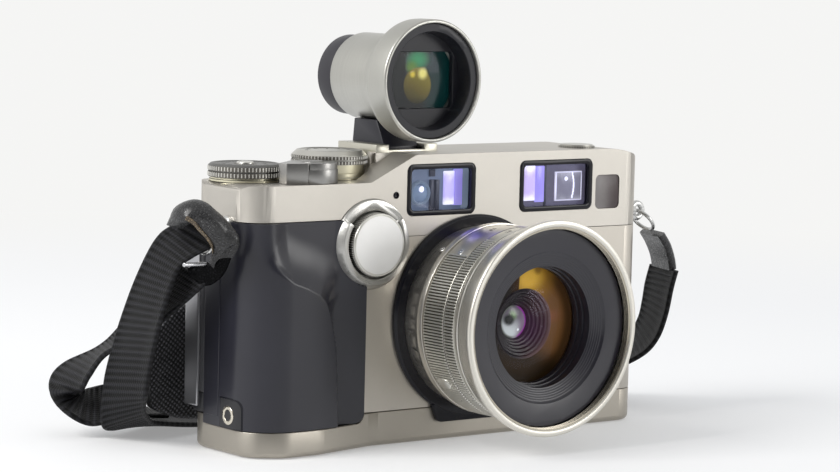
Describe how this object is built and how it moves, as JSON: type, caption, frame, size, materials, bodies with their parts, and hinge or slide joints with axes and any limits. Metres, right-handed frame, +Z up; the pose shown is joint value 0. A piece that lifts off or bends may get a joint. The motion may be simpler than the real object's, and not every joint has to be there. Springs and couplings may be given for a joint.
{
  "type": "rangefinder film camera",
  "caption": "Compact interchangeable-lens film camera with a side grip, top dials, a wide lens with a bladed iris and shutter, a hinged back, a round accessory finder and a webbing neck strap.",
  "frame": {"origin": "centre of the tripod socket's mouth in the base", "axes": "+Z up out of the base, -Y out of the lens, +X to the right seen from the front; the tripod socket faces -Z"},
  "size_m": [0.1967, 0.1419, 0.1173],
  "materials": {
    "cover_metal": "satin champagne, fine bead blast",
    "lens_metal": "satin champagne, turned",
    "dial_metal": "knurled and brushed",
    "grip_rubber": "satin, fine grain",
    "body_casting": "matt black",
    "black_metal": "gloss black",
    "black_plastic": "satin",
    "steel": "bright",
    "mount_chrome": "polished",
    "blade_metal": "matt black",
    "door_metal": "black, fine grain",
    "coated_glass": "polished, violet and green coatings",
    "window_glass": "polished, violet coating",
    "frosted_window": "frosted",
    "cell_case": "printed sleeve, left plain",
    "nickel": "polished",
    "keeper_leather": "pebbled, glossy",
    "webbing": "ribbed nylon",
    "pad_weave": "coarse weave",
    "eyecup_rubber": "matt",
    "foot_paint": "satin dark grey"
  },
  "bodies": {
    "camera_body": {"top_cover": "cover_metal", "front_cover": "cover_metal", "bottom_cover": "cover_metal", "tripod_bush": "steel", "batteries": "cell_case", "grip": "grip_rubber", "chassis": "body_casting", "take_up_housing": "body_casting", "hinge_pin": "steel", "shutter_frame": "blade_metal", "mount_trim_ring": "black_metal", "mount_flange": "mount_chrome", "focus_dial_bezel": "cover_metal", "illumination_window": "frosted_window", "finder_optics": "black_plastic", "eyepiece_frame": "black_plastic", "eyepiece_lens": "coated_glass", "hot_shoe": "steel", "lens_base_ring": "lens_metal", "lens_front_barrel": "lens_metal", "sync_socket": "nickel", "strap_lugs": "steel", "strap_keepers": "keeper_leather", "strap_left": "webbing", "strap_right": "webbing", "strap_pad": "pad_weave", "rangefinder_window_frame": "black_plastic", "rangefinder_window_glass": "window_glass", "finder_window_frame": "black_plastic", "finder_window_glass": "window_glass"},
    "battery_cap": {"battery_cap": "cover_metal"},
    "focus_dial": {"focus_dial": "dial_metal"},
    "exposure_dial": {"exposure_dial": "dial_metal"},
    "exposure_button": {"exposure_button": "dial_metal"},
    "shutter_dial": {"shutter_dial": "dial_metal"},
    "power_switch": {"power_switch": "dial_metal"},
    "release_button": {"release_button": "dial_metal"},
    "drive_dial": {"drive_dial": "dial_metal"},
    "diopter_dial": {"diopter_dial": "black_plastic"},
    "lens_release_button": {"lens_release_button": "lens_metal"},
    "back_door": {"back_door": "door_metal", "film_window": "window_glass"},
    "pressure_plate": {"pressure_plate": "blade_metal"},
    "door_latch": {"door_latch": "dial_metal"},
    "take_up_spool": {"take_up_spool": "black_plastic"},
    "rewind_fork": {"rewind_fork": "steel"},
    "shutter_blade_1": {"shutter_blade_1": "blade_metal"},
    "shutter_blade_2": {"shutter_blade_2": "blade_metal"},
    "aperture_ring": {"aperture_ring": "lens_metal"},
    "optical_cell": {"lens_name_ring": "black_metal", "lens_front_glass": "coated_glass"},
    "accessory_finder": {"finder_foot": "foot_paint", "finder_barrel": "lens_metal", "finder_mask": "black_metal", "finder_eyecup": "eyecup_rubber", "finder_lenses": "coated_glass"},
    "iris_blade_1": {"iris_blade_1": "blade_metal"},
    "iris_blade_2": {"iris_blade_2": "blade_metal"},
    "iris_blade_3": {"iris_blade_3": "blade_metal"},
    "iris_blade_4": {"iris_blade_4": "blade_metal"},
    "iris_blade_5": {"iris_blade_5": "blade_metal"}
  },
  "joints": [
    {"name": "back_door_swing", "type": "hinge", "parent": "camera_body", "child": "back_door", "pos_m": [-0.0673, 0.0066, 0.0335], "axis": [0, 0, 1], "range_deg": [0, 90]},
    {"name": "pressure_plate_give", "type": "slide", "parent": "back_door", "child": "pressure_plate", "axis": [0, 1, 0], "range_m": [0, 0.0005], "stiffness_N_per_m": 500, "springref_m": -0.001},
    {"name": "door_latch_slide", "type": "slide", "parent": "camera_body", "child": "door_latch", "axis": [0, 0, -1], "range_m": [0, 0.003], "stiffness_N_per_m": 150, "springref_m": -0.002},
    {"name": "take_up_spool_turn", "type": "hinge", "parent": "camera_body", "child": "take_up_spool", "pos_m": [-0.0275, -0.001, 0.0335], "axis": [0, 0, 1], "continuous": true},
    {"name": "rewind_fork_turn", "type": "hinge", "parent": "camera_body", "child": "rewind_fork", "pos_m": [0.042, -0.0015, 0.054], "axis": [0, 0, 1], "continuous": true},
    {"name": "shutter_curtain_drop", "type": "slide", "parent": "camera_body", "child": "shutter_blade_2", "axis": [0, 0, -1], "range_m": [0, 0.0242], "stiffness_N_per_m": 10, "springref_m": -0.008},
    {"name": "shutter_curtain_follow", "type": "slide", "parent": "camera_body", "child": "shutter_blade_1", "axis": [0, 0, -1], "range_m": [0, 0.0122]},
    {"name": "battery_cap_turn", "type": "hinge", "parent": "camera_body", "child": "battery_cap", "pos_m": [-0.056, -0.0056, 0.001], "axis": [0, 0, -1], "range_deg": [0, 90]},
    {"name": "focus_dial_turn", "type": "hinge", "parent": "camera_body", "child": "focus_dial", "pos_m": [-0.0298, -0.018, 0.056], "axis": [0, -1, 0], "continuous": true},
    {"name": "exposure_dial_turn", "type": "hinge", "parent": "camera_body", "child": "exposure_dial", "pos_m": [-0.0588, 0.0026, 0.0745], "axis": [0, 0, 1], "range_deg": [-120, 120]},
    {"name": "exposure_button_press", "type": "slide", "parent": "exposure_dial", "child": "exposure_button", "axis": [0, 0, -1], "range_m": [0, 0.0006], "stiffness_N_per_m": 300, "springref_m": -0.0005},
    {"name": "shutter_dial_turn", "type": "hinge", "parent": "camera_body", "child": "shutter_dial", "pos_m": [-0.031, 0.0022, 0.0775], "axis": [0, 0, 1], "range_deg": [-150, 150]},
    {"name": "power_switch_turn", "type": "hinge", "parent": "camera_body", "child": "power_switch", "pos_m": [-0.0449, -0.0092, 0.075], "axis": [0, 0, 1], "range_deg": [0, 20]},
    {"name": "release_button_press", "type": "slide", "parent": "camera_body", "child": "release_button", "axis": [0, 0, -1], "range_m": [0, 0.0008], "stiffness_N_per_m": 400, "springref_m": -0.0005},
    {"name": "drive_dial_turn", "type": "hinge", "parent": "camera_body", "child": "drive_dial", "pos_m": [0.05, -0.008, 0.079], "axis": [0, 0, 1], "range_deg": [-60, 60]},
    {"name": "diopter_dial_turn", "type": "hinge", "parent": "camera_body", "child": "diopter_dial", "pos_m": [0.0515, 0.0141, 0.0695], "axis": [0, 1, 0], "range_deg": [-90, 90]},
    {"name": "lens_release_button_press", "type": "slide", "parent": "camera_body", "child": "lens_release_button", "axis": [0, 1, 0], "range_m": [0, 0.001], "stiffness_N_per_m": 400, "springref_m": -0.0005},
    {"name": "aperture_ring_turn", "type": "hinge", "parent": "camera_body", "child": "aperture_ring", "pos_m": [0.0062, -0.039, 0.0346], "axis": [0, -1, 0], "range_deg": [0, 60]},
    {"name": "optical_cell_focus", "type": "slide", "parent": "camera_body", "child": "optical_cell", "axis": [0, -1, 0], "range_m": [0, 0.0012]},
    {"name": "accessory_finder_slide", "type": "slide", "parent": "camera_body", "child": "accessory_finder", "axis": [0, 1, 0], "range_m": [0, 0.018]},
    {"name": "iris_blade_1_swing", "type": "hinge", "parent": "camera_body", "child": "iris_blade_1", "pos_m": [0.0188, -0.0311, 0.0346], "axis": [0, -1, 0], "range_deg": [0, 30]},
    {"name": "iris_blade_2_swing", "type": "hinge", "parent": "camera_body", "child": "iris_blade_2", "pos_m": [0.01009, -0.0311, 0.04658], "axis": [0, -1, 0], "range_deg": [0, 30]},
    {"name": "iris_blade_3_swing", "type": "hinge", "parent": "camera_body", "child": "iris_blade_3", "pos_m": [-0.00399, -0.0311, 0.04201], "axis": [0, -1, 0], "range_deg": [0, 30]},
    {"name": "iris_blade_4_swing", "type": "hinge", "parent": "camera_body", "child": "iris_blade_4", "pos_m": [-0.00399, -0.0311, 0.02719], "axis": [0, -1, 0], "range_deg": [0, 30]},
    {"name": "iris_blade_5_swing", "type": "hinge", "parent": "camera_body", "child": "iris_blade_5", "pos_m": [0.01009, -0.0311, 0.02262], "axis": [0, -1, 0], "range_deg": [0, 30]}
  ],
  "couplings": [
    {"joint": "shutter_curtain_follow", "follows": "shutter_curtain_drop", "ratio": 0.5},
    {"joint": "iris_blade_1_swing", "follows": "aperture_ring_turn", "ratio": 0.4667},
    {"joint": "iris_blade_2_swing", "follows": "aperture_ring_turn", "ratio": 0.4667},
    {"joint": "iris_blade_3_swing", "follows": "aperture_ring_turn", "ratio": 0.4667},
    {"joint": "iris_blade_4_swing", "follows": "aperture_ring_turn", "ratio": 0.4667},
    {"joint": "iris_blade_5_swing", "follows": "aperture_ring_turn", "ratio": 0.4667}
  ]
}
